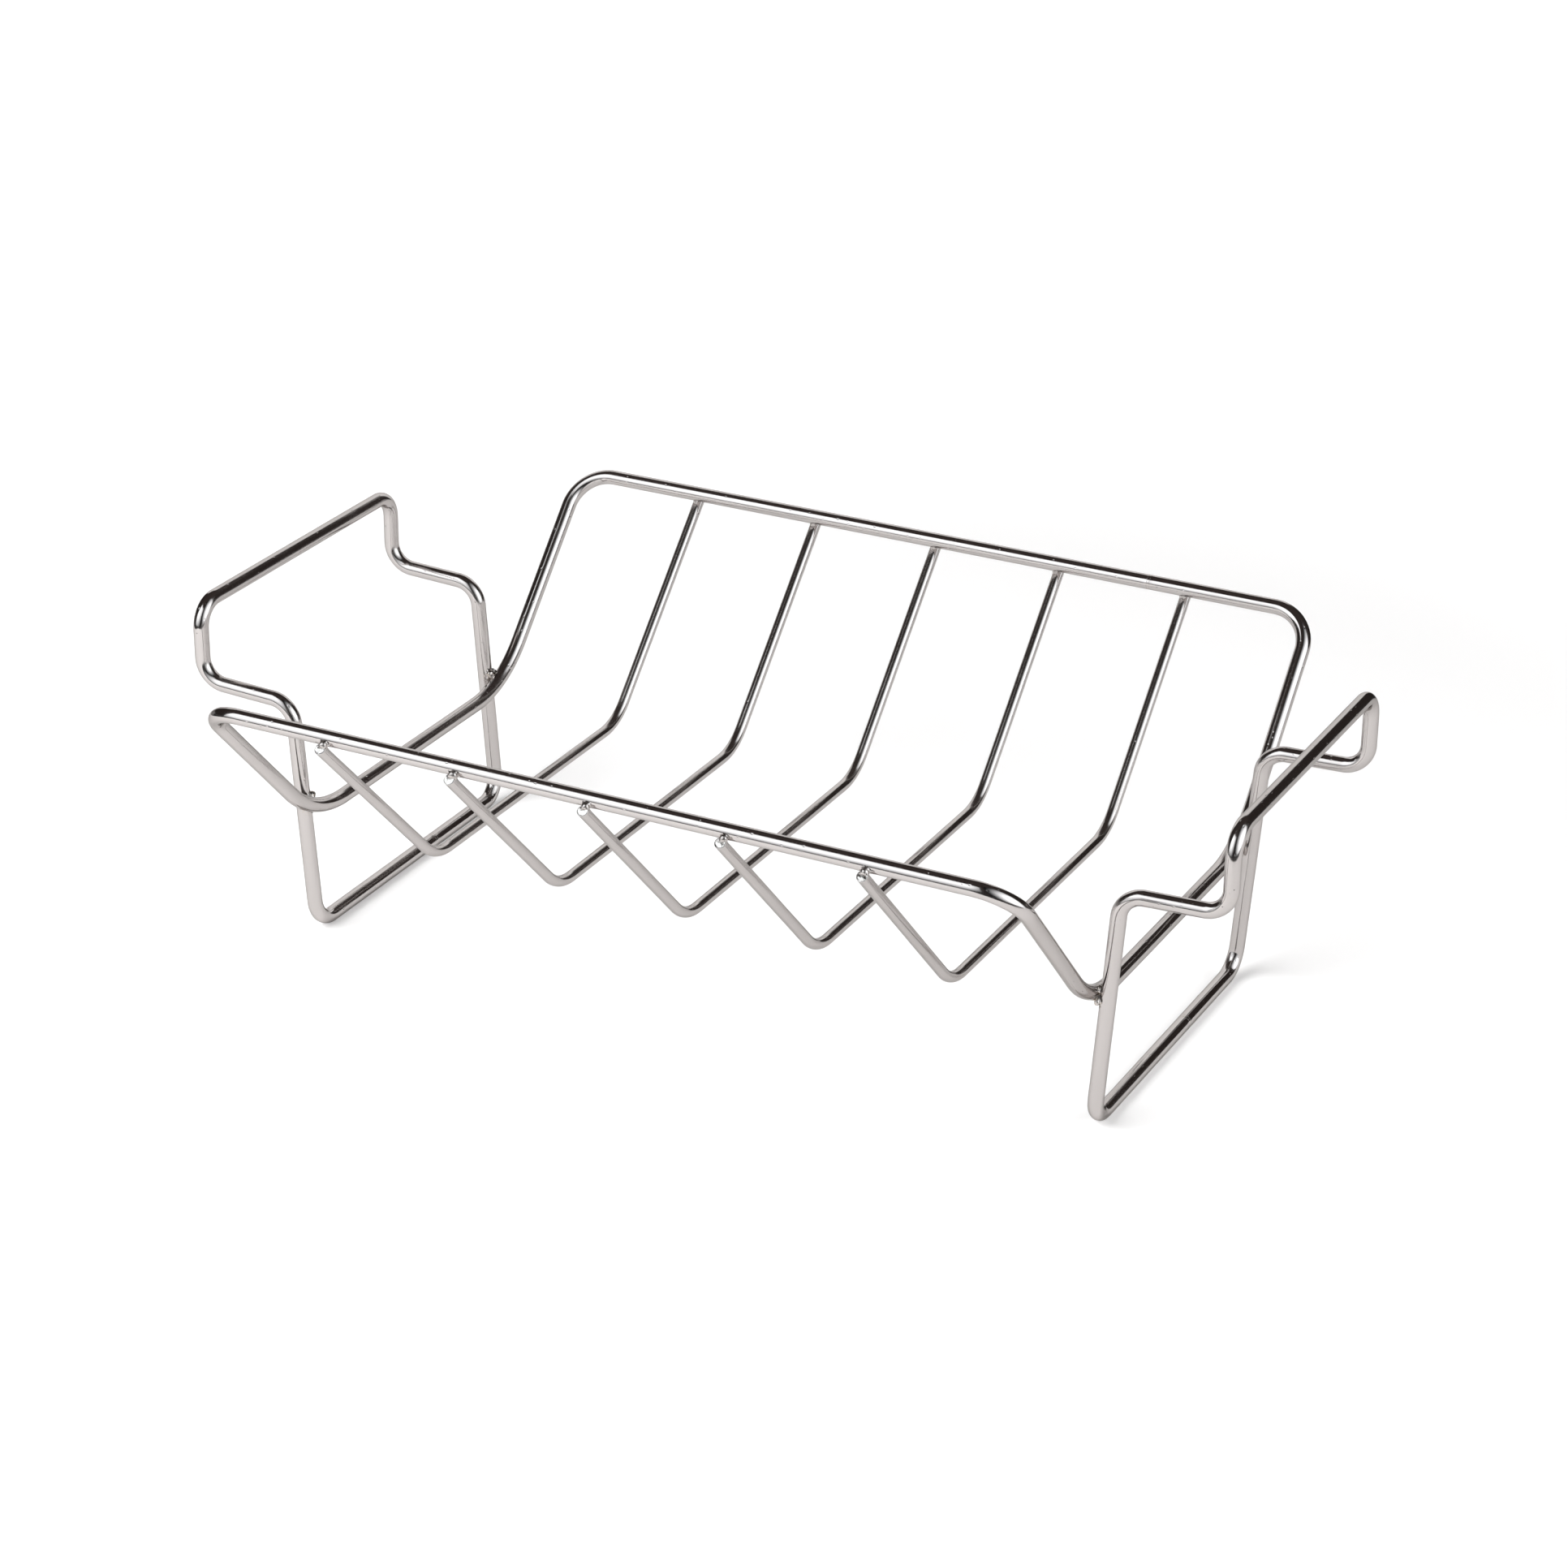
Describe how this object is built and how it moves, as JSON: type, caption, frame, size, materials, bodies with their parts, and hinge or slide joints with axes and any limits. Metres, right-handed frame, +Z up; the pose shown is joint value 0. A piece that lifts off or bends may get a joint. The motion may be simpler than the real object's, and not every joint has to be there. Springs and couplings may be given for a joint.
{
  "type": "wire roasting rack",
  "caption": "V-shaped wire basket on two looped end frames with raised handles; holds a roast or bird above a pan, or racks of ribs on edge when turned over.",
  "frame": {"origin": "middle of the rack, on the surface that it stands on", "axes": "+X along the basket to the right end frame, +Y to the rear rim, +Z up"},
  "size_m": [0.4366, 0.2934, 0.1331],
  "materials": {
    "frame_wire": "bright polished stainless wire with faint drawing lines",
    "rib_wire": "bright polished stainless wire with faint drawing lines and sheared ends",
    "weld_bead": "as-welded stainless bead, uneven, brown at its edge",
    "ground_seam": "ground-back butt weld"
  },
  "bodies": {
    "root": {"basket_frame": "frame_wire", "basket_frame_seam": "ground_seam", "rib_1": "rib_wire", "rib_1_front_weld": "weld_bead", "rib_1_rear_weld": "weld_bead", "rib_2": "rib_wire", "rib_2_front_weld": "weld_bead", "rib_2_rear_weld": "weld_bead", "rib_3": "rib_wire", "rib_3_front_weld": "weld_bead", "rib_3_rear_weld": "weld_bead", "rib_4": "rib_wire", "rib_4_front_weld": "weld_bead", "rib_4_rear_weld": "weld_bead", "rib_5": "rib_wire", "rib_5_front_weld": "weld_bead", "rib_5_rear_weld": "weld_bead", "left_end_frame": "frame_wire", "left_end_frame_seam": "ground_seam", "left_front_leg_weld": "weld_bead", "left_rear_leg_weld": "weld_bead", "right_end_frame": "frame_wire", "right_end_frame_seam": "ground_seam", "right_front_leg_weld": "weld_bead", "right_rear_leg_weld": "weld_bead"}
  },
  "joints": []
}
